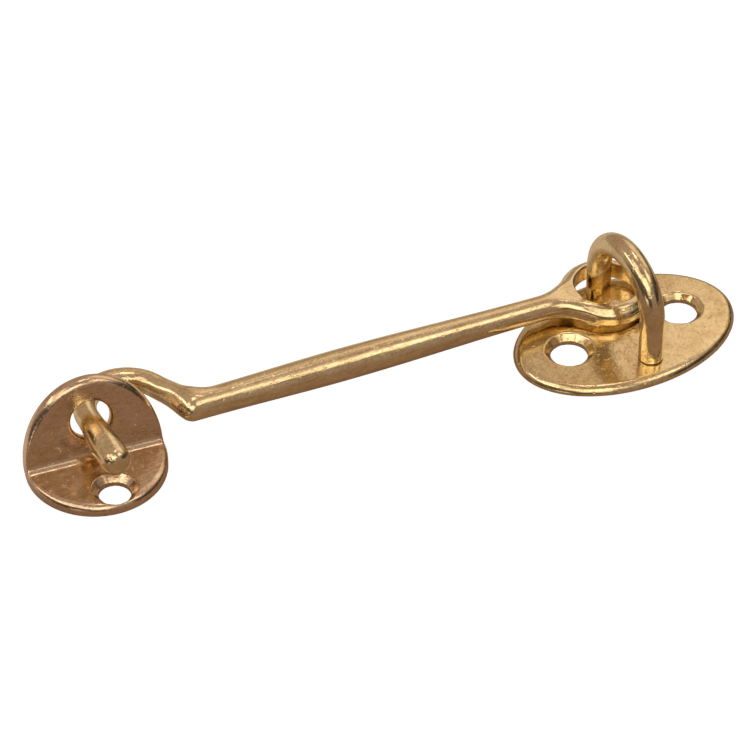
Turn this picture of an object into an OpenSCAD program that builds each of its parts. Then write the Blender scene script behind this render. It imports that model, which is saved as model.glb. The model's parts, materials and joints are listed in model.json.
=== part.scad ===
// Brass hook and eye latch, also called a cabin hook, shown latched.
// An oval base plate carries a riveted staple, the hook's ring swings on the staple's rear leg,
// and the hook's tip passes through the eye of a bent keeper plate.
// X runs along the base plate and away from the keeper, Z stands off the mounting face,
// and the origin is the middle of the base plate on that face. Millimetres and degrees.

/* [Base plate] */
// Length of the oval plate
base_l = 37.4; // [34:0.1:42]
// Width of the oval plate
base_w = 24.9; // [22:0.1:30]
// Thickness of the plate
base_t = 1.85; // [1.6:0.05:3]
// Rounding of the plate's upper edge
base_edge_r = 1.4; // [0.4:0.1:1.4]
// Distance between the two screw holes
screw_pitch = 20; // [17:0.1:23]
// Radius of the screw holes
screw_r = 2.9; // [2:0.05:3.1]
// Radius of the countersinks at the plate's face
screw_sink_r = 4; // [3.4:0.05:4.4]

/* [Staple] */
// Radius of the staple's rod
staple_r = 1.95; // [1.6:0.05:2.4]
// Distance between the axes of the two legs
staple_pitch = 15.5; // [14:0.1:18]
// Straight height of the legs above the plate
staple_leg_h = 7.2; // [6:0.1:12]
// Radius of the tenons that pass through the plate
tenon_r = 1.4; // [1:0.05:1.5]
// Radius of the tenons where they are spread on the back
rivet_r = 2.1; // [1.7:0.05:2.4]

/* [Hook ring] */
// Radius of the hole in the ring
ring_hole_r = 5; // [4.2:0.05:6]
// Width of the ring's wall
ring_wall = 2.15; // [1.8:0.05:2.8]
// Thickness of the ring
ring_t = 3.1; // [2.4:0.1:3.8]
// Rounding of the ring's outer edges
ring_edge_r = 0.9; // [0.3:0.05:0.9]
// Bevel round both ends of the ring's hole
ring_hole_bevel = 0.4; // [0.1:0.05:0.5]
// Radius of the hollow curves where the shank spreads into the ring
ring_fillet_r = 8; // [5:0.1:12]
// How far the ring lies off the leg's axis along the hook, away from the keeper
ring_off_along = 0.85; // [0:0.05:1]
// How far the ring lies off the leg's axis across the hook, on the tip's side
ring_off_across = 0.8; // [0:0.05:1]

/* [Shank] */
// Distance from the ring's centre to the sharp corner
shank_l = 70.5; // [50:0.5:120]
// Radius of the shank where it leaves the ring
shank_root_r = 2; // [1.7:0.05:2.4]
// Radius of the shank at its thickest
shank_mid_r = 2.55; // [2.2:0.05:3.2]
// Where the shank is thickest, as a share of its length from the ring
swell_at = 0.65; // [0.4:0.05:0.8]
// Radius of the shank at the corner
shank_end_r = 2.25; // [2:0.05:2.6]

/* [Swan neck and tip] */
// Angle through which the neck turns back from the shank
neck_turn = 64; // [50:0.5:70]
// Straight length of the neck, from the corner to the arch
neck_l = 7.4; // [5:0.1:10]
// Radius of the rod in the neck and the arch
hook_rod_r = 1.85; // [1.7:0.05:2.2]
// Length of the tip beyond the arch
tip_l = 12.2; // [11.5:0.1:15]
// Length of the tip that stands in front of the keeper's leaf
tip_reach = 10.7; // [8:0.1:11.4]
// Radius of the tip at its rounded end
tip_end_r = 2.4; // [2:0.05:2.6]

/* [Keeper] */
// Width of the keeper along its crease
keeper_w = 21.7; // [20:0.1:25]
// Thickness of the keeper's plate
keeper_t = 1.95; // [1.7:0.05:2.6]
// Length of the foot in front of the bend
keeper_foot_l = 10.9; // [10:0.1:14]
// Length of the upright leaf beyond the bend
keeper_leaf_l = 13; // [11.6:0.1:16]
// Angle through which the upright leaf is bent
keeper_bend = 79; // [70:1:90]
// Radius inside the bend
keeper_bend_r = 0.6; // [0.4:0.05:1.2]
// Rounding of the front edges
keeper_edge_r = 1.2; // [0.3:0.05:1.2]
// Share of that rounding that is left at the ends of the crease
keeper_crease_edge = 0.3; // [0.2:0.05:1]
// Radius of the eye that takes the hook's tip
eye_r = 3.35; // [2.8:0.05:3.8]
// Bevel round both ends of the eye
eye_bevel = 0.45; // [0.1:0.05:0.5]
// Distance from the crease to the eye's centre
eye_h = 6.4; // [6:0.1:8]
// How far the eye lies off the middle of the keeper, on the base plate's side
eye_off = 0.1; // [0:0.1:1]
// Distance from the crease to the screw hole's centre
keeper_screw_at = 7.6; // [6:0.1:7.6]
// How far the screw hole lies off the middle of the keeper, on the base plate's side
keeper_screw_off = 0.6; // [0:0.1:1.5]
// Radius of the screw hole
keeper_screw_r = 2.45; // [1.8:0.05:2.6]
// Radius of the countersink at the keeper's face
keeper_sink_r = 3.6; // [3:0.05:3.7]

/* [Fit] */
// Gap between the resting hook and what it rests on
seat_gap = 0.3; // [0.2:0.05:0.6]
// Gap between the neck and the side of the keeper's leaf
mouth_gap = 0.7; // [0.5:0.1:3]
// Rounding of the edges at the back of both plates
back_edge_r = 0.3; // [0.1:0.05:0.4]
// Angle of the latched hook to the base plate
latch_angle = -4.2; // [-15:0.1:15]
// Angle of the keeper's crease to the hook
keeper_turn = -5.2; // [-8:0.1:8]

/* [Hidden] */
$fn = 72;
brass = [0.84, 0.66, 0.36];
warm_brass = [0.72, 0.52, 0.32];

// How far a cutting shape runs past the face that it cuts
past = 0.5;
// How far a piece of the hook stays inside the one that it blends into, and how far it runs into it
shy = 0.05;
lap = 0.5;
// Points on each eased stretch of a turned profile
steps = 10;
// Steps over each rounded edge of a plate's rim
rim_steps = 5;
// Rows of points on each half oval, and round the bend
rows = 18;
bend_rows = 6;
// Angle round each half oval over which the rim's rounding grows from the bend
fade = 40;
// Stands for no length, where a division needs one
tiny = 0.000001;

leg_y = staple_pitch / 2;
ring_r = ring_hole_r + ring_wall;

// Where the hollow curves beside the ring leave the shank
flare_u = sqrt(pow(ring_r + ring_fillet_r, 2) - pow(shank_root_r + ring_fillet_r, 2));
flare_sweep = atan2(flare_u, shank_root_r + ring_fillet_r);
// Where the shank starts, inside the ring's wall
root_u = ring_hole_r + ring_wall / 2;
// The mitre at the corner takes this much of the shank and of the neck
mitre = shank_end_r * tan(neck_turn / 2);

// The arch is as wide as the keeper's leaf needs
arch_r = (keeper_w / 2 + mouth_gap + hook_rod_r / sin(neck_turn)) / (1 + 1 / sin(neck_turn));
arch_c = [shank_l + neck_l * cos(neck_turn) + arch_r * sin(neck_turn),
          -neck_l * sin(neck_turn) + arch_r * cos(neck_turn)];
tip_u = arch_c[0] + arch_r;
leaf_f = arch_c[1] + tip_l - tip_reach;

// The eye's centre on the leaf's front face, behind the crease and above the mounting face
eye_y = eye_h * cos(keeper_bend);
eye_z = keeper_t + eye_h * sin(keeper_bend);

// The tip rests in the bottom of the eye and the ring on the plate, which sets the hook's slope
tip_z = eye_z - eye_r * sin(keeper_bend) - eye_bevel * cos(keeper_bend) + seat_gap + tip_end_r;
rise = (tip_z - base_t - seat_gap) / norm([ring_t / 2, ring_r + tip_u]);
tilt = asin(rise) - atan2(ring_t / 2, ring_r + tip_u);
ring_z = base_t + seat_gap + ring_t / 2 * cos(tilt) + ring_r * sin(tilt);

// A point of the hook, along and across it, seen from above
function turned(p, a) = [p[0] * cos(a) - p[1] * sin(a), p[0] * sin(a) + p[1] * cos(a)];
function hook_place(u, f) =
    [0, leg_y] + turned([u * cos(tilt) - ring_off_along, f + ring_off_across], 180 + latch_angle);

// Eases from a to b as s goes from 0 to 1
function eased(a, b, s) = a + (b - a) * (1 - cos(180 * s)) / 2;
// Points of a turned profile that eases from radius a at u to radius b at v
function eased_run(a, b, u, v) = [for (i = [1:steps]) [eased(a, b, i / steps), u + (v - u) * i / steps]];

// Rows of an oval blank, [half width, distance along it], set in from its outline by the given amount:
// a half oval of length low_l, a straight run of the given length, then a half oval of length top_l.
// The share at_bend of the amount is left along the run, and it grows to the whole on the ovals
function blank_row(half_w, l, phi, inset, at_bend) =
    let (n = [l * cos(phi), half_w * sin(phi)], share = eased(at_bend, 1, min(1, abs(phi) / fade)))
    [half_w * cos(phi), l * sin(phi)] - share * inset * n / norm(n);
function blank_rows(half_w, low_l, run, top_l, inset, at_bend) = concat(
    [for (i = [0:rows - 1]) blank_row(half_w, low_l, -90 * (rows - i - 0.5) / rows, inset, at_bend)],
    [for (i = [0:bend_rows]) [half_w - at_bend * inset, run * i / bend_rows]],
    [for (i = [0:rows - 1]) [0, run] + blank_row(half_w, top_l, 90 * (i + 0.5) / rows, inset, at_bend)]);

// Rim of a plate as [inset, depth] steps, from its face over both rounded edges to its back
function rim_path(thick, top_r) = concat(
    [for (i = [0:rim_steps]) top_r * [1 - sin(90 * i / rim_steps), 1 - cos(90 * i / rim_steps)]],
    [for (i = [0:rim_steps])
        [0, thick] + back_edge_r * [1 - cos(90 * i / rim_steps), sin(90 * i / rim_steps) - 1]]);

// A point of the blank once it is bent, with the bend's axis along X through the origin
function bent(x, along, depth, turn, bend_r, run) =
    let (on_bend = min(max(along, 0), run))
    let (r = bend_r + depth, a = turn * on_bend / max(run, tiny), on = along - on_bend)
    [x, r * sin(a) + on * cos(a), on * sin(a) - r * cos(a)];

// A pressed plate with a rounded rim, flat or bent up through an angle, its face towards the bend's axis
module pressed_plate(half_w, low_l, top_l, thick, top_r, turn = 0, bend_r = 0, at_bend = 1) {
    run = (bend_r + thick / 2) * turn * PI / 180;
    rim = rim_path(thick, top_r);
    blank = [for (step = rim) blank_rows(half_w, low_l, run, top_l, step[0], at_bend)];
    n = len(blank[0]);
    points = [
        for (k = [0:len(rim) - 1])
            for (j = [0:2 * n - 1])
                let (row = blank[k][j < n ? j : 2 * n - 1 - j])
                bent(j < n ? row[0] : -row[0], row[1], rim[k][1], turn, bend_r, run)];
    last = (len(rim) - 1) * 2 * n;
    faces = concat(
        [for (j = [0:n - 2]) [j, 2 * n - 1 - j, 2 * n - 2 - j, j + 1]],
        [for (j = [0:n - 2]) [for (q = [j + 1, 2 * n - 2 - j, 2 * n - 1 - j, j]) last + q]],
        [for (k = [0:len(rim) - 2])
            for (j = [0:2 * n - 1])
                let (a = k * 2 * n, next = (j + 1) % (2 * n))
                [a + j, a + next, a + 2 * n + next]],
        [for (k = [0:len(rim) - 2])
            for (j = [0:2 * n - 1])
                let (a = k * 2 * n, next = (j + 1) % (2 * n))
                [a + j, a + 2 * n + next, a + 2 * n + j]]);
    polyhedron(points, faces);
}

// Cutter for a countersunk screw hole, with the plate's face at height thick
module screw_cut(r, sink_r, thick) {
    sink = sink_r - r;
    translate([0, 0, -past]) cylinder(r = r, h = thick + 2 * past);
    translate([0, 0, thick - sink]) cylinder(r1 = r, r2 = sink_r + past, h = sink + past);
}

// A staple leg's tenon with its spread end, flush with the back of the plate
module tenon(h) {
    spread = rivet_r - tenon_r;
    cylinder(r = tenon_r, h = h);
    cylinder(r1 = rivet_r, r2 = tenon_r, h = spread);
}

module base_plate() {
    color(brass)
        difference() {
            translate([0, 0, base_t])
                rotate([0, 0, 90])
                    pressed_plate(base_w / 2, base_l / 2, base_l / 2, base_t, base_edge_r);
            for (end = [-1, 1]) {
                translate([end * screw_pitch / 2, 0, 0]) screw_cut(screw_r, screw_sink_r, base_t);
                translate([0, end * leg_y, 0]) tenon(base_t + past);
            }
        }
}

module staple() {
    color(brass) {
        for (end = [-1, 1])
            translate([0, end * leg_y, 0]) {
                tenon(base_t + past);
                translate([0, 0, base_t]) cylinder(r = staple_r, h = staple_leg_h);
            }
        translate([0, 0, base_t + staple_leg_h])
            rotate([90, 0, 90])
                rotate_extrude(angle = 180)
                    translate([leg_y, 0]) circle(staple_r);
    }
}

// Cutter for a round hole through a thickness, bevelled at both faces
module bevelled_cut(r, bevel, thick) {
    translate([0, 0, -past]) cylinder(r = r, h = thick + 2 * past);
    for (face = [0, 1])
        translate([0, 0, face * thick])
            rotate([face * 180, 0, 0])
                translate([0, 0, -past])
                    cylinder(r1 = r + bevel + past, r2 = r, h = bevel + past);
}

// The disc of the hook's ring, with a rounded edge
module ring_disc() {
    flat = ring_t - 2 * ring_edge_r;
    rotate_extrude() {
        translate([0, -flat / 2]) square([ring_r, flat]);
        translate([0, -ring_t / 2]) square([ring_r - ring_edge_r, ring_t]);
        for (z = [-flat / 2, flat / 2])
            translate([ring_r - ring_edge_r, z]) circle(ring_edge_r);
    }
}

// Hollow curves on both sides, with a rounded edge, where the shank spreads into the ring
module hook_flare() {
    nose_r = min(ring_t / 2, shank_root_r) - shy;
    for (side = [0, 1])
        mirror([0, side, 0])
            translate([flare_u, shank_root_r + ring_fillet_r, 0])
                rotate([0, 0, -90 - flare_sweep])
                    rotate_extrude(angle = flare_sweep)
                        translate([ring_fillet_r + nose_r, 0]) circle(nose_r);
}

// Solid on the far side of the corner's mitre, from the shank or from the neck
module mitre_cut(side) {
    reach = shank_l;
    translate([shank_l, 0, 0])
        rotate([0, 0, -neck_turn / 2])
            translate([side > 0 ? 0 : -reach, -reach / 2, -reach / 2])
                cube(reach);
}

// The shank, turned to a long swell between the ring and the corner
module hook_shank() {
    start_r = ring_t / 2 - 2 * shy;
    mid_u = swell_at * shank_l;
    profile = concat(
        [[0, root_u], [start_r, root_u]],
        eased_run(start_r, shank_root_r, root_u, flare_u),
        eased_run(shank_root_r, shank_mid_r, flare_u, mid_u),
        eased_run(shank_mid_r, shank_end_r, mid_u, shank_l - mitre),
        [[shank_end_r, shank_l + 2 * mitre], [0, shank_l + 2 * mitre]]);
    difference() {
        rotate([0, 90, 0]) rotate_extrude() polygon(profile);
        mitre_cut(1);
    }
}

// The neck, which thins from the corner to the arch
module hook_neck() {
    profile = concat(
        [[0, -2 * mitre], [shank_end_r, -2 * mitre], [shank_end_r, mitre]],
        eased_run(shank_end_r, hook_rod_r, mitre, neck_l - lap),
        [[hook_rod_r - shy, neck_l + lap], [0, neck_l + lap]]);
    difference() {
        translate([shank_l, 0, 0])
            rotate([0, 90, -neck_turn])
                rotate_extrude() polygon(profile);
        mitre_cut(-1);
    }
}

// The arch over the keeper's leaf and the tip that drops through the eye
module hook_arch_and_tip() {
    translate([arch_c[0], arch_c[1], 0]) {
        rotate([0, 0, 270 - neck_turn])
            rotate_extrude(angle = 90 + neck_turn)
                translate([arch_r, 0]) circle(hook_rod_r);
        translate([arch_r, 0, 0])
            rotate([-90, 0, 0]) {
                translate([0, 0, -lap])
                    cylinder(r1 = hook_rod_r - shy, r2 = tip_end_r, h = tip_l - tip_end_r + lap);
                translate([0, 0, tip_l - tip_end_r]) sphere(tip_end_r);
            }
    }
}

module hook() {
    place = hook_place(0, 0);
    color(brass)
        translate([place[0], place[1], ring_z])
            rotate([0, 0, 180 + latch_angle])
                rotate([0, -tilt, 0]) {
                    difference() {
                        union() {
                            ring_disc();
                            hook_flare();
                            hook_shank();
                        }
                        translate([0, 0, -ring_t / 2]) bevelled_cut(ring_hole_r, ring_hole_bevel, ring_t);
                    }
                    hook_neck();
                    hook_arch_and_tip();
                }
}

module keeper() {
    tangent = keeper_bend_r * tan(keeper_bend / 2);
    below = keeper_bend_r + keeper_t;
    place = hook_place(tip_u, leaf_f) - turned([eye_off, eye_y], latch_angle + keeper_turn);
    color(warm_brass)
        translate([place[0], place[1], 0])
            rotate([0, 0, latch_angle + keeper_turn])
                translate([0, -tangent, below])
                    difference() {
                        pressed_plate(keeper_w / 2, keeper_foot_l, keeper_leaf_l, keeper_t,
                                      keeper_edge_r, keeper_bend, keeper_bend_r, keeper_crease_edge);
                        translate([keeper_screw_off, tangent - keeper_screw_at, -below])
                            screw_cut(keeper_screw_r, keeper_sink_r, keeper_t);
                        rotate([keeper_bend, 0, 0])
                            translate([eye_off, eye_h - tangent, -below])
                                bevelled_cut(eye_r, eye_bevel, keeper_t);
                    }
}

base_plate();
staple();
hook();
keeper();
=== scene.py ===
"""Looks of a brass hook and eye latch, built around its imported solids.

Sizes below are millimetres and degrees in the part's own frame, and meshes are made in metres.
"""
import json
import math

import bpy
import numpy as np
from mathutils import Matrix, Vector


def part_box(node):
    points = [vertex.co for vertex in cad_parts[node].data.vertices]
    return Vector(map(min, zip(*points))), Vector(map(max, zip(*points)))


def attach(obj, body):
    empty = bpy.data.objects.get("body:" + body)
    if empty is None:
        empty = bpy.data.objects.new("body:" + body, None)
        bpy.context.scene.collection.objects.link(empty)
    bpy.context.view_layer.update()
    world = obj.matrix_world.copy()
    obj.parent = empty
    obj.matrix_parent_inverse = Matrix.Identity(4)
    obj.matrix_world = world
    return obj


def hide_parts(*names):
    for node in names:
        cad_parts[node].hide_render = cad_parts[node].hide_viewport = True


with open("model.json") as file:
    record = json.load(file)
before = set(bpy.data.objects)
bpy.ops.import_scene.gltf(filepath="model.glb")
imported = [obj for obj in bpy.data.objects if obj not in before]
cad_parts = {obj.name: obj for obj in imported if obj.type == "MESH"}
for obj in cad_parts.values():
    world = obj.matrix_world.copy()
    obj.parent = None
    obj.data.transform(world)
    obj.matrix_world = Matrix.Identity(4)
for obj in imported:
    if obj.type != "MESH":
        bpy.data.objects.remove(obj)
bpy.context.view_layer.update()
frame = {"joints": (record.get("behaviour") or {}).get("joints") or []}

MM = 0.001

# Sizes read from the frame
plate_low, plate_high = (np.array(c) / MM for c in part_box("base_plate"))
BASE_L, BASE_W, BASE_T = plate_high - plate_low
STAPLE_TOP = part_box("staple")[1].z / MM
LEG_Y = frame["joints"][0]["pos_m"][1] / MM

# Base plate
BASE_EDGE_R = 1.4
BASE_CROWN = 0.4
BACK_EDGE_R = 0.3
SCREW_PITCH = 20.0
SCREW_R = 2.9
SCREW_SINK_R = 4.0
SINK_EDGE_R = 0.15
SINK_CHATTER = 0.03
SINK_LOBES = 9

# Staple
STAPLE_R = 1.95
TENON_R = 1.4
RIVET_R = 2.1
FOOT_EDGE_R = 0.2
RIVET_GAP = 0.03

# Hook ring
RING_HOLE_R = 5.0
RING_WALL = 2.15
RING_T = 3.1
RING_EDGE_R = 0.9
RING_LOW_EDGE_R = 0.4
RING_CHAMFER = 1.3
RING_CHAMFER_EDGE = 0.35
RING_HOLE_EDGE_R = 0.35
RING_FILLET_R = 8.0
RING_OFF_ALONG = 0.85
RING_OFF_ACROSS = 0.8

# Hook shank, neck, arch and tip
SHANK_L = 70.5
SHANK_ROOT_R = 2.0
SHANK_MID_R = 2.55
SWELL_AT = 0.65
SHANK_END_R = 2.25
NECK_TURN = 64.0
NECK_L = 7.4
NECK_FILED = 0.4
HOOK_ROD_R = 1.85
TIP_L = 12.2
TIP_REACH = 10.7
TIP_END_R = 2.4
TIP_NOSE_R = 1.7
TIP_SWELL = 8.0
CORNER_ROUND = 0.9
CORNER_FILL = 2.5

# Keeper
KEEPER_W = 21.7
KEEPER_T = 1.95
KEEPER_FOOT_L = 10.9
KEEPER_LEAF_L = 13.0
KEEPER_BEND = 79.0
KEEPER_BEND_R = 0.6
KEEPER_EDGE_R = 1.2
KEEPER_CREASE_EDGE = 0.3
CREASE_FILL = 1.2
CREASE_FADE = 40.0
EYE_R = 3.35
EYE_BEVEL = 0.45
EYE_EDGE_R = 0.75
EYE_CLOSE = 0.2
EYE_H = 6.4
EYE_OFF = 0.1
KEEPER_SCREW_AT = 7.6
KEEPER_SCREW_OFF = 0.6
KEEPER_SCREW_R = 2.45
KEEPER_SINK_R = 3.6

# Fit
SEAT_GAP = 0.3
MOUTH_GAP = 0.7
LATCH_ANGLE = -4.2
KEEPER_TURN = -5.2

# The photograph's camera: where the part's origin is seen, how far off it is, and its angles
FRAME_PX = 750
FOCAL_PX = 5040
ORIGIN_PX = (623.92, 336.41)
ORIGIN_DEPTH = 784.0
VIEW_AZIMUTH = -29.56
VIEW_ELEVATION = 41.49
VIEW_ROLL = -0.2

# Mesh: the size of its cells, the step for slopes and the least square that they divide by,
# and the rounds and share of its evening out
CELL = 0.25
FINE_CELL = 0.2
SLOPE_STEP = 0.01
LEAST_SLOPE_SQUARED = 0.1
RELAX_ROUNDS = 4
RELAX_SHARE = 0.5
# How far it lies inside the solids, and how far the hook's stretches overlap so that no seam opens
SKIN = 0.015
LAP = 0.2

# Brass: waves to a metre of each noise, and the noise levels between which each change runs
CLOUD_SCALE = 240
GRAIN_SCALE = 650
PIT_SCALE = 1300
SPECK_SCALE = 2300
NOISE_ROUGHNESS = 0.62
CLOUD_LEVELS = (0.36, 0.62)
GLOSS_LEVELS = (0.35, 0.65)
PIT_LEVELS = (0.28, 0.38)
SPECK_LEVELS = (0.34, 0.56)
LINE_LEVELS = (0.34, 0.52)
# Shares of the roughness in the darkest and lightest clouds
DULL, BRIGHT = 1.5, 0.75
# Painted shade in corners and joints, found by ambient occlusion: how far it reaches in metres, and how
# open a corner is where it starts and ends
CORNER_SHADE_REACH = 0.0007
CORNER_SHADE_LEVELS = (0.15, 0.6)
# The colour that the painted shade in corners darkens towards
CORNER_SHADE = (0.55, 0.48, 0.40)
SPECK = (0.86, 0.82, 0.76)
WHITE = (1, 1, 1)

# Floor, in metres: its colour, its lift to white for the camera, and its tones in the metal,
# which run from those in front to those behind over a stretch of Y
FLOOR_SIZE = 3.0
FLOOR_COLOUR = (0.56, 0.64, 0.77)
FLOOR_LIFT = 0.8
FLOOR_IN_METAL = ((0, (0.42, 0.33, 0.28)), (1, (0.85, 0.83, 0.81)))
FLOOR_FRONT_Y = 0.010
FLOOR_BEHIND_Y = 0.022

# Studio light: its tones by the angle up from the camera's side and over to the back
STUDIO_ARC = ((0, (0.09, 0.08, 0.08)), (30, (0.11, 0.10, 0.10)), (48, (0.26, 0.23, 0.23)),
              (75, (0.40, 0.35, 0.35)), (100, (0.48, 0.41, 0.41)), (125, (0.46, 0.39, 0.37)),
              (139, (0.40, 0.33, 0.28)), (160, (0.42, 0.36, 0.33)), (180, (0.38, 0.34, 0.32)))
# Soft boxes: azimuth from the camera's, elevation, half width, half height, soft edge and colour
SOFT_BOXES = (
    # The long streak on the shank and its softer upper side
    (68, 50, 16, 8, 4, (1.15, 1.15, 1.06)),
    (84, 62, 12, 7, 5, (0.25, 0.25, 0.23)),
    # The near side of the ring
    (7, 29, 13, 8, 4, (0.9, 0.9, 0.85)),
    # The keeper's crease
    (36, 40, 5, 5, 4, (0.6, 0.58, 0.55)),
    # The fronts of the ring, the staple and the tip
    (2, 45, 26, 10, 4, (1.4, 1.4, 1.35)),
    # The left sides of the staple and the neck
    (-66, 42, 34, 3, 3, (2.0, 2.0, 1.95)),
    (-52, 60, 22, 8, 5, (1.0, 1.0, 1.0)),
    # The top of the hook's arch
    (166, 76, 21, 8, 2, (1.7, 1.7, 1.6)),
    # The keeper's lower rim
    (-25, 2, 8, 4, 3, (1.0, 1.0, 1.0)),
    # A broad glow behind, for the right side of the base plate
    (145, 37, 22, 8, 20, (0.56, 0.54, 0.52)),
    # A faint glow low on the right, and beside it a flag, which takes light away
    (45, 14, 26, 12, 12, (0.22, 0.19, 0.19)),
    (105, 10, 40, 14, 12, (-0.36, -0.30, -0.30)))
WARMTH = (1, 0.87, 0.72)
DARKEST = 0.05


# Shapes as signed distance fields

def sin(angle):
    return math.sin(math.radians(angle))


def cos(angle):
    return math.cos(math.radians(angle))


def ease(a, b, s):
    """Eases from a to b as s goes from 0 to 1."""
    return a + (b - a) * (1 - np.cos(np.pi * np.clip(s, 0, 1))) / 2


def common(a, b, r):
    """Intersection of two fields with its edge rounded to radius r."""
    return np.minimum(-r, np.maximum(a, b)) + np.hypot(np.maximum(r + a, 0), np.maximum(r + b, 0))


def soft_min(a, b, k):
    """Smaller of two fields, blended where they differ by less than k."""
    k = np.maximum(k, 1e-6)
    return np.minimum(a, b) - np.maximum(k - np.abs(a - b), 0) ** 2 / (4 * k)


def oval(x, y, a, b):
    """Distance from an oval with half axes a and b, close to its outline."""
    k0 = np.hypot(x / a, y / b)
    k1 = np.hypot(x / a ** 2, y / b ** 2)
    return k0 * (k0 - 1) / np.maximum(k1, 1e-6)


def screw_hole(x, y, depth, screw_r, sink_r):
    """Distance from a countersunk hole with chatter marks, at a depth below the plate's face."""
    r = np.hypot(x, y)
    chatter = SINK_CHATTER * np.cos(SINK_LOBES * np.arctan2(y, x))
    cone = (r - sink_r + depth + chatter) * math.sqrt(0.5)
    return np.minimum(r - screw_r, cone)


# Where the hook and the keeper lie, solved as in the part

arch_r = (KEEPER_W / 2 + MOUTH_GAP + HOOK_ROD_R / sin(NECK_TURN)) / (1 + 1 / sin(NECK_TURN))
arch_u = SHANK_L + NECK_L * cos(NECK_TURN) + arch_r * sin(NECK_TURN)
arch_f = -NECK_L * sin(NECK_TURN) + arch_r * cos(NECK_TURN)
tip_u = arch_u + arch_r
leaf_f = arch_f + TIP_L - TIP_REACH
ring_r = RING_HOLE_R + RING_WALL
mitre = SHANK_END_R * math.tan(math.radians(NECK_TURN / 2))
flare_u = math.sqrt((ring_r + RING_FILLET_R) ** 2 - (SHANK_ROOT_R + RING_FILLET_R) ** 2)

eye_z = KEEPER_T + EYE_H * sin(KEEPER_BEND)
tip_z = eye_z - EYE_R * sin(KEEPER_BEND) - EYE_BEVEL * cos(KEEPER_BEND) + SEAT_GAP + TIP_END_R
hook_span = math.hypot(RING_T / 2, ring_r + tip_u)
rise = (tip_z - BASE_T - SEAT_GAP) / hook_span
tilt = math.degrees(math.asin(rise) - math.atan2(RING_T / 2, ring_r + tip_u))
ring_z = BASE_T + SEAT_GAP + RING_T / 2 * cos(tilt) + ring_r * sin(tilt)


def spun(axis, angle):
    return np.array(Matrix.Rotation(math.radians(angle), 3, axis))


hook_turn = spun("Z", 180 + LATCH_ANGLE) @ spun("Y", -tilt)
leg = np.array([0, LEG_Y, 0])


def hook_plan(u, f):
    """A point of the hook, along and across it, seen from above."""
    return leg + spun("Z", 180 + LATCH_ANGLE) @ [u * cos(tilt) - RING_OFF_ALONG, f + RING_OFF_ACROSS, 0]


hook_place = hook_plan(0, 0) + [0, 0, ring_z]

keeper_turn = spun("Z", LATCH_ANGLE + KEEPER_TURN)
bend_tangent = KEEPER_BEND_R * math.tan(math.radians(KEEPER_BEND / 2))
bend_run = (KEEPER_BEND_R + KEEPER_T / 2) * math.radians(KEEPER_BEND)
keeper_place = (hook_plan(tip_u, leaf_f) - keeper_turn @ [EYE_OFF, EYE_H * cos(KEEPER_BEND), 0]
                + keeper_turn @ [0, -bend_tangent, KEEPER_BEND_R + KEEPER_T])


# Pieces as fields

def tenon(x, y, z):
    """A staple's tenon with its spread end, flush with the back of the plate."""
    r = np.hypot(x, np.abs(y) - LEG_Y)
    return np.minimum(r - TENON_R, (r + z - RIVET_R) * math.sqrt(0.5))


def base_plate(p):
    x, y, z = p.T
    outline = oval(x, y, BASE_L / 2, BASE_W / 2)
    crown = BASE_CROWN * ((2 * x / BASE_L) ** 2 + (2 * y / BASE_W) ** 2)
    plate = common(outline, z - BASE_T + crown, BASE_EDGE_R)
    plate = common(plate, -z, BACK_EDGE_R)
    hole = screw_hole(np.abs(x) - SCREW_PITCH / 2, y, BASE_T - z, SCREW_R, SCREW_SINK_R)
    plate = common(plate, -hole, SINK_EDGE_R)
    return np.maximum(plate, RIVET_GAP - tenon(x, y, z))


def staple(p):
    x, y, z = p.T
    arch_z = STAPLE_TOP - LEG_Y - STAPLE_R
    round_arch = np.hypot(np.hypot(y, np.maximum(z - arch_z, 0)) - LEG_Y, x) - STAPLE_R
    rod = common(round_arch, BASE_T - BASE_CROWN / 2 - z, FOOT_EDGE_R)
    return np.minimum(rod, np.maximum(np.maximum(tenon(x, y, z), -z), z - BASE_T))


def hook_bar(u, f, w):
    """The ring's disc, the flare and the shank, without the ring's hole."""
    mid_u = SWELL_AT * SHANK_L
    swell = ease(SHANK_ROOT_R, SHANK_MID_R, (u - flare_u) / (mid_u - flare_u))
    thin = ease(SHANK_MID_R, SHANK_END_R, (u - mid_u) / (SHANK_L - mitre - mid_u))
    r = np.where(u < mid_u, swell, thin)
    flare = (u - ring_r / 2) / (flare_u - ring_r / 2)
    half_t = ease(RING_T / 2, r, flare)
    edge = ease(np.where(w > 0, RING_EDGE_R, RING_LOW_EDGE_R), r, flare)
    chamfer = ease(RING_CHAMFER, 0, flare)
    side = np.abs(f)
    flare_f = SHANK_ROOT_R + RING_FILLET_R
    hollow = RING_FILLET_R - np.hypot(u - flare_u, side - flare_f)
    beside_ring = (u < flare_u) & (flare_u * side < flare_f * u)
    outline = np.minimum(np.hypot(u, f) - ring_r, np.maximum(side - r, -u))
    outline = np.where(beside_ring, hollow, outline)
    bar = common(outline, np.abs(w) - half_t, edge)
    return common(bar, (outline + w - half_t + chamfer) * math.sqrt(0.5), RING_CHAMFER_EDGE)


def hook_neck(u, f, w):
    """Distance from the neck's rod, the distance along it, and how much is filed off it there."""
    along = (u - SHANK_L) * cos(NECK_TURN) - f * sin(NECK_TURN)
    across = (u - SHANK_L) * sin(NECK_TURN) + f * cos(NECK_TURN)
    r = ease(SHANK_END_R, HOOK_ROD_R, (along - mitre) / (NECK_L - mitre))
    # The neck is filed thinner on its front, most of all in its middle
    middle = np.sin(np.pi * np.clip(along / NECK_L, 0, 1)) ** 2
    filed = NECK_FILED * middle * np.clip(across / HOOK_ROD_R, 0, 1)
    return np.hypot(across, w) - r, along, filed


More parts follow.
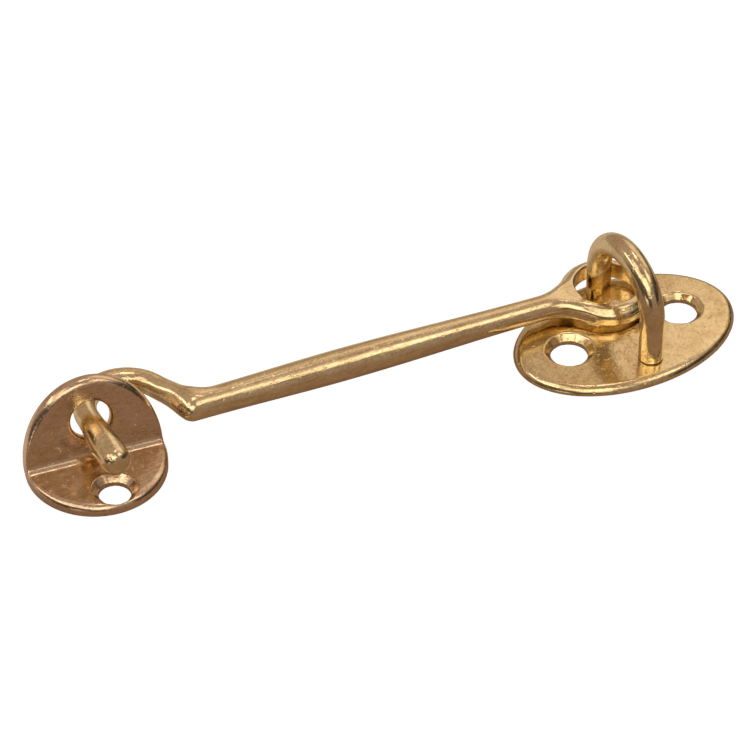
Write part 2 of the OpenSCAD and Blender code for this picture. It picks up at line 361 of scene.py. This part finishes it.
def hook(p):
    """The hook in its own frame: u along it, f across it towards the tip's end, w up."""
    u, f, w = p.T
    bar = hook_bar(u, f, w)
    neck, along, filed = hook_neck(u, f, w)
    # On the outside of the corner both rods bound it, and inside it a fillet joins them
    outside = (u - SHANK_L) * sin(NECK_TURN / 2) + f * cos(NECK_TURN / 2)
    ramp = np.clip(np.abs(outside) / SHANK_END_R, 0, 1)
    outer = -soft_min(-bar, -neck, CORNER_ROUND * ramp)
    inner = soft_min(bar, neck, CORNER_FILL * ramp)
    body = np.where(outside > 0, outer, inner)
    body = np.maximum(body + filed, along - NECK_L - LAP)
    x, y = u - arch_u, f - arch_f
    start = 270 - NECK_TURN
    arch = np.hypot(np.hypot(x, y) - arch_r, w) - HOOK_ROD_R
    arch = np.maximum(arch, np.maximum(x * sin(start) - y * cos(start), y))
    tip_r = ease(HOOK_ROD_R, TIP_END_R, y / TIP_SWELL)
    tip = common(np.hypot(u - tip_u, w) - tip_r, y - TIP_L, TIP_NOSE_R)
    tip = np.maximum(tip, -y - LAP)
    body = np.minimum(np.minimum(body, arch), tip)
    return common(body, RING_HOLE_R - np.hypot(u, f), RING_HOLE_EDGE_R)


def keeper(p):
    """The keeper in its own frame: x along the crease, y back, z up, with the bend's axis along x."""
    x, y, z = p.T
    bend = np.radians(KEEPER_BEND)
    angle = np.clip(np.arctan2(y, -z), 0, bend)
    on_low = angle <= 0
    on_leaf = angle >= bend
    leaf_y = y * cos(KEEPER_BEND) + z * sin(KEEPER_BEND)
    leaf_z = z * cos(KEEPER_BEND) - y * sin(KEEPER_BEND)
    along = np.where(on_low, y, np.where(on_leaf, bend_run + leaf_y, bend_run * angle / bend))
    depth = np.where(on_low, -z, np.where(on_leaf, -leaf_z, np.hypot(y, z))) - KEEPER_BEND_R
    half_w = KEEPER_W / 2
    outline = np.where(along < 0, oval(x, along, half_w, KEEPER_FOOT_L), np.abs(x) - half_w)
    outline = np.where(along > bend_run, oval(x, along - bend_run, half_w, KEEPER_LEAF_L), outline)
    share = np.where(along < 0, -along / KEEPER_FOOT_L, (along - bend_run) / KEEPER_LEAF_L)
    round_oval = np.degrees(np.arcsin(np.clip(share, 0, 1)))
    edge = KEEPER_EDGE_R * ease(KEEPER_CREASE_EDGE, 1, round_oval / CREASE_FADE)
    filled = soft_min(z + KEEPER_BEND_R, leaf_z + KEEPER_BEND_R, CREASE_FILL)
    plate = common(outline, np.minimum(-depth, filled), edge)
    plate = common(plate, depth - KEEPER_T, BACK_EDGE_R)
    screw_y = bend_tangent - KEEPER_SCREW_AT
    hole = screw_hole(x - KEEPER_SCREW_OFF, along - screw_y, depth, KEEPER_SCREW_R, KEEPER_SINK_R)
    plate = common(plate, -hole, SINK_EDGE_R)
    eye = np.hypot(x - EYE_OFF, along - bend_run - EYE_H + bend_tangent) - EYE_R + EYE_CLOSE
    return common(plate, -eye, EYE_EDGE_R)


# Meshes from fields

def slope(field, p):
    steps = SLOPE_STEP * np.eye(3)
    return np.stack([field(p + s) - field(p - s) for s in steps], -1) / (2 * SLOPE_STEP)


def settled(field, p, rounds):
    """Points moved along the field's slope until they lie on its surface."""
    for _ in range(rounds):
        g = slope(field, p)
        p = p - (field(p) / np.maximum((g * g).sum(-1), LEAST_SLOPE_SQUARED))[:, None] * g
    return p


def surface_net(shape, low, high, cell):
    """Points, quads and normals of a net over a grid of cells, a hair inside a shape's surface."""
    def field(p):
        return shape(p) + SKIN

    axes = [np.arange(a - 2 * cell, b + 3 * cell, cell) for a, b in zip(low, high)]
    grid = np.stack(np.meshgrid(*axes, indexing="ij"), -1)
    inside = (field(grid.reshape(-1, 3)) < 0).reshape(grid.shape[:3])
    cells = tuple(n - 1 for n in inside.shape)
    count = np.zeros(cells, int)
    for i, j, k in np.ndindex(2, 2, 2):
        count += inside[i:i + cells[0], j:j + cells[1], k:k + cells[2]]
    crossed = (count > 0) & (count < 8)
    number = np.full(cells, -1)
    number[crossed] = np.arange(crossed.sum())
    points = grid[0, 0, 0] + (np.argwhere(crossed) + 0.5) * cell
    quads = []
    for axis in range(3):
        a, b = (i for i in range(3) if i != axis)
        here = inside.take(range(cells[axis]), axis)
        edges = np.argwhere(here != inside.take(range(1, cells[axis] + 1), axis))
        ring = []
        for back_a, back_b in ((1, 1), (0, 1), (0, 0), (1, 0)):
            corner = edges.copy()
            corner[:, a] -= back_a
            corner[:, b] -= back_b
            ring.append(number[tuple(corner.T)])
        ring = np.stack(ring, 1)
        outward = here[tuple(edges.T)] ^ (axis == 1)
        quads.append(np.where(outward[:, None], ring, ring[:, ::-1]))
    quads = np.concatenate(quads)
    return relaxed(field, points, quads)


def relaxed(field, points, quads):
    """Evens out a net's points along the surface, and gives their normals."""
    links = np.concatenate([quads, np.roll(quads, 1, 1)]).ravel()
    ends = np.concatenate([np.roll(quads, 1, 1), quads]).ravel()
    degree = np.bincount(links, minlength=len(points))[:, None]
    points = settled(field, points, rounds=3)
    for _ in range(RELAX_ROUNDS):
        total = np.stack([np.bincount(links, points[ends, i], len(points)) for i in range(3)], -1)
        points = settled(field, points + RELAX_SHARE * (total / degree - points), rounds=1)
    points = settled(field, points, rounds=2)
    normals = slope(field, points)
    return points, quads, normals / np.linalg.norm(normals, axis=1, keepdims=True)


def add_piece(node, body, material, net, turn=np.eye(3), place=(0, 0, 0)):
    """A mesh piece that stands for a node, with its points turned and placed in the part's frame."""
    points, quads, normals = net
    mesh = bpy.data.meshes.new(node + "_look")
    mesh.from_pydata((MM * (points @ turn.T + place)).tolist(), [], quads.tolist())
    mesh.polygons.foreach_set("use_smooth", np.ones(len(quads), bool))
    mesh.normals_split_custom_set_from_vertices((normals @ turn.T).tolist())
    mesh.materials.append(material)
    piece = bpy.data.objects.new(node + "_look", mesh)
    bpy.context.scene.collection.objects.link(piece)
    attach(piece, body)
    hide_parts(node)


# Materials

class Nodes:
    """A node tree with short calls to add and link nodes."""

    def __init__(self, tree):
        self.tree = tree
        tree.nodes.clear()

    def add(self, kind, inputs=None, **settings):
        node = self.tree.nodes.new(kind)
        for key, value in settings.items():
            setattr(node, key, value)
        for key, value in (inputs or {}).items():
            if isinstance(value, bpy.types.NodeSocket):
                self.tree.links.new(value, node.inputs[self.socket(node, key)])
            else:
                node.inputs[self.socket(node, key)].default_value = value
        return node

    def socket(self, node, key):
        """The enabled input of a name, since a mix node keeps one for each kind of data."""
        if isinstance(key, int):
            return key
        return next(i for i, s in enumerate(node.inputs) if s.name == key and s.enabled)

    def ramp(self, value, stops):
        """Colours by a value, with each stop as its place and its red, green and blue."""
        node = self.add("ShaderNodeValToRGB", {"Fac": value})
        elements = node.color_ramp.elements
        while len(elements) < len(stops):
            elements.new(0.5)
        for element, (place, colour) in zip(elements, stops):
            element.position = place
            element.color = (*colour, 1)
        return node.outputs["Color"]


def brass(name, light, dark, rough, lines, grain, line_depth, pits):
    """Worn brass: clouds of tarnish, specks, painted shade in the corners, drawn lines, grain and pits.

    lines gives the lines' waves to a metre along each axis, and the last three are depths in metres.
    """
    material = bpy.data.materials.new(name)
    material.use_nodes = True
    n = Nodes(material.node_tree)
    where = n.add("ShaderNodeTexCoord").outputs["Object"]

    def noise(scale, detail, vector=where):
        return n.add("ShaderNodeTexNoise", {"Vector": vector, "Scale": scale, "Detail": detail,
                                            "Roughness": NOISE_ROUGHNESS}).outputs["Fac"]

    def between(value, levels, low=0.0, high=1.0):
        return n.add("ShaderNodeMapRange", {"Value": value, "From Min": levels[0],
                                            "From Max": levels[1], "To Min": low,
                                            "To Max": high}).outputs["Result"]

    def tinted(colour, value, levels, tint):
        shade = n.ramp(value, ((levels[0], tint), (levels[1], WHITE)))
        mix = n.add("ShaderNodeMix", {"Factor": 1.0, "A": colour, "B": shade},
                    data_type="RGBA", blend_type="MULTIPLY")
        return mix.outputs["Result"]

    cloud = noise(CLOUD_SCALE, 6)
    speck = noise(SPECK_SCALE, 4)
    stretched = n.add("ShaderNodeMapping", {"Vector": where, "Scale": lines}).outputs["Vector"]
    line = noise(1, 4, stretched)
    pit = between(noise(PIT_SCALE, 2), PIT_LEVELS)
    # Ambient occlusion finds the corners and joints, where the colour is darkened as painted shade
    corner = n.add("ShaderNodeAmbientOcclusion", {"Distance": CORNER_SHADE_REACH}, samples=4)
    colour = n.ramp(cloud, ((CLOUD_LEVELS[0], dark), (CLOUD_LEVELS[1], light)))
    colour = tinted(colour, speck, SPECK_LEVELS, SPECK)
    colour = tinted(colour, line, LINE_LEVELS, SPECK)
    colour = tinted(colour, corner.outputs["AO"], CORNER_SHADE_LEVELS, CORNER_SHADE)
    gloss = between(cloud, GLOSS_LEVELS, rough * DULL, rough * BRIGHT)
    normal = None
    heights = ((noise(GRAIN_SCALE, 2), 2 * grain), (speck, grain), (line, line_depth), (pit, pits))
    for height, depth in heights:
        inputs = {"Height": height, "Strength": 1.0, "Distance": depth}
        if normal:
            inputs["Normal"] = normal
        normal = n.add("ShaderNodeBump", inputs).outputs["Normal"]
    shader = n.add("ShaderNodeBsdfPrincipled", {"Base Color": colour, "Metallic": 1.0,
                                                "Roughness": gloss, "Normal": normal})
    n.add("ShaderNodeOutputMaterial", {"Surface": shader.outputs["BSDF"]})
    return material


plate_brass = brass("plate_brass", (0.94, 0.81, 0.51), (0.80, 0.64, 0.37), rough=0.12,
                    lines=(900, 900, 900), grain=1.2e-5, line_depth=1e-5, pits=3e-5)
staple_brass = brass("staple_brass", (0.90, 0.79, 0.51), (0.78, 0.64, 0.39), rough=0.10,
                     lines=(300, 2400, 600), grain=1e-5, line_depth=1.5e-5, pits=2e-5)
hook_brass = brass("hook_brass", (0.94, 0.82, 0.54), (0.82, 0.67, 0.41), rough=0.10,
                   lines=(200, 2600, 2600), grain=0.8e-5, line_depth=2.5e-5, pits=2e-5)
keeper_brass = brass("keeper_brass", (0.84, 0.68, 0.51), (0.75, 0.58, 0.40), rough=0.12,
                     lines=(160, 3000, 3000), grain=1e-5, line_depth=2e-5, pits=2e-5)

# The four pieces

half_l, half_w = BASE_L / 2, BASE_W / 2
add_piece("base_plate", "fixed_plates", plate_brass,
          surface_net(base_plate, (-half_l, -half_w, 0), (half_l, half_w, BASE_T), FINE_CELL))
staple_y = LEG_Y + STAPLE_R
add_piece("staple", "fixed_plates", staple_brass,
          surface_net(staple, (-RIVET_R, -staple_y, 0), (RIVET_R, staple_y, STAPLE_TOP), FINE_CELL))
hook_low = (-ring_r, arch_f - arch_r - HOOK_ROD_R, -SHANK_MID_R)
hook_high = (tip_u + TIP_END_R, max(ring_r, arch_f + TIP_L), SHANK_MID_R)
add_piece("hook", "hook", hook_brass,
          surface_net(hook, hook_low, hook_high, CELL), hook_turn, hook_place)
leaf_reach = KEEPER_LEAF_L + KEEPER_BEND_R + KEEPER_T
keeper_low = (-KEEPER_W / 2, -KEEPER_FOOT_L, -KEEPER_BEND_R - KEEPER_T)
add_piece("keeper", "fixed_plates", keeper_brass,
          surface_net(keeper, keeper_low, (KEEPER_W / 2, leaf_reach / 2, leaf_reach), FINE_CELL),
          keeper_turn, keeper_place)

# Camera

view_turn = spun("Z", VIEW_AZIMUTH)
right = view_turn @ [1, 0, 0]
toward = view_turn @ [0, cos(VIEW_ELEVATION), -sin(VIEW_ELEVATION)]
over = view_turn @ [0, sin(VIEW_ELEVATION), cos(VIEW_ELEVATION)]
right, over = (cos(VIEW_ROLL) * right + sin(VIEW_ROLL) * over,
               cos(VIEW_ROLL) * over - sin(VIEW_ROLL) * right)
px = ORIGIN_DEPTH / FOCAL_PX
seen = ((ORIGIN_PX[0] - FRAME_PX / 2) * px, (FRAME_PX / 2 - ORIGIN_PX[1]) * px)
camera_at = -(seen[0] * right + seen[1] * over + ORIGIN_DEPTH * toward) * MM
camera_data = bpy.data.cameras.new("camera")
camera_data.sensor_width = 36
camera_data.lens = FOCAL_PX * camera_data.sensor_width / FRAME_PX
camera_data.clip_start = 0.01
camera_data.clip_end = 100
camera = bpy.data.objects.new("camera", camera_data)
camera_turn = Matrix(np.column_stack([right, over, -toward]))
camera.matrix_world = Matrix.Translation(camera_at) @ camera_turn.to_4x4()
bpy.context.scene.collection.objects.link(camera)
bpy.context.scene.camera = camera


# Floor and studio light

def floor_material():
    """A pale floor, white to the camera and dimmer in the metal, with the object's shadow in both."""
    material = bpy.data.materials.new("floor")
    material.use_nodes = True
    n = Nodes(material.node_tree)
    path = n.add("ShaderNodeLightPath")
    seen = path.outputs["Is Camera Ray"]
    level = n.add("ShaderNodeMath", {0: seen, 1: FLOOR_LIFT}, operation="MULTIPLY")
    pale = n.add("ShaderNodeBsdfDiffuse", {"Color": (*FLOOR_COLOUR, 1)})
    place = n.add("ShaderNodeSeparateXYZ", {0: n.add("ShaderNodeTexCoord").outputs["Object"]})
    behind = n.add("ShaderNodeMapRange", {"Value": place.outputs["Y"], "From Min": FLOOR_FRONT_Y,
                                          "From Max": FLOOR_BEHIND_Y}).outputs["Result"]
    dim = n.add("ShaderNodeBsdfDiffuse", {"Color": n.ramp(behind, FLOOR_IN_METAL)})
    matt = n.add("ShaderNodeMixShader", {0: path.outputs["Is Glossy Ray"], 1: pale.outputs[0],
                                         2: dim.outputs[0]})
    glow = n.add("ShaderNodeEmission", {"Strength": level.outputs[0]})
    both = n.add("ShaderNodeAddShader", {0: matt.outputs[0], 1: glow.outputs[0]})
    n.add("ShaderNodeOutputMaterial", {"Surface": both.outputs[0]})
    return material


def add_floor():
    mesh = bpy.data.meshes.new("floor")
    h = FLOOR_SIZE / 2
    mesh.from_pydata([(-h, -h, 0), (h, -h, 0), (h, h, 0), (-h, h, 0)], [], [(0, 1, 2, 3)])
    mesh.materials.append(floor_material())
    floor = bpy.data.objects.new("floor", mesh)
    bpy.context.scene.collection.objects.link(floor)


def studio_world():
    """White to the camera, and for all other rays a warm studio with soft boxes."""
    world = bpy.data.worlds.new("studio")
    bpy.context.scene.world = world
    world.use_nodes = True
    n = Nodes(world.node_tree)
    aim = n.add("ShaderNodeTexCoord").outputs["Generated"]

    def part(direction):
        dot = n.add("ShaderNodeVectorMath", {0: aim, 1: tuple(direction)}, operation="DOT_PRODUCT")
        return dot.outputs["Value"]

    def math_node(operation, *values):
        return n.add("ShaderNodeMath", dict(enumerate(values)), operation=operation).outputs[0]

    def vector_node(operation, *values):
        return n.add("ShaderNodeVectorMath", dict(enumerate(values)), operation=operation).outputs[0]

    ahead, side, high = (part(v) for v in (view_turn @ [0, -1, 0], view_turn @ [1, 0, 0], (0, 0, 1)))
    arc = math_node("DIVIDE", math_node("ARCTAN2", high, ahead), math.pi)
    light = n.ramp(arc, [(degrees / 180, colour) for degrees, colour in STUDIO_ARC])
    azimuth = math_node("DEGREES", math_node("ARCTAN2", side, ahead))
    elevation = math_node("DEGREES", math_node("ARCSINE", high))
    for box_azimuth, box_elevation, half_w, half_h, soft, colour in SOFT_BOXES:
        share = 1.0
        sides = ((azimuth, box_azimuth, half_w), (elevation, box_elevation, half_h))
        for angle, middle, half in sides:
            off = math_node("PINGPONG", math_node("SUBTRACT", angle, middle), 180)
            edge = n.add("ShaderNodeMapRange", {"Value": off, "From Min": half, "From Max": half + soft,
                                                "To Min": 1.0, "To Max": 0.0},
                         interpolation_type="SMOOTHSTEP")
            share = math_node("MULTIPLY", share, edge.outputs["Result"])
        glow = n.add("ShaderNodeVectorMath", {0: colour, "Scale": share}, operation="SCALE")
        light = vector_node("ADD", light, glow.outputs[0])
    light = vector_node("MULTIPLY", vector_node("MAXIMUM", light, (DARKEST,) * 3), WARMTH)
    seen = n.add("ShaderNodeLightPath").outputs["Is Camera Ray"]
    studio = n.add("ShaderNodeBackground", {"Color": light, "Strength": 1.0})
    white = n.add("ShaderNodeBackground", {"Color": (*WHITE, 1), "Strength": 1.0})
    rays = n.add("ShaderNodeMixShader", {0: seen, 1: studio.outputs[0], 2: white.outputs[0]})
    n.add("ShaderNodeOutputWorld", {"Surface": rays.outputs[0]})


add_floor()
studio_world()
bpy.context.scene.view_settings.view_transform = "Standard"
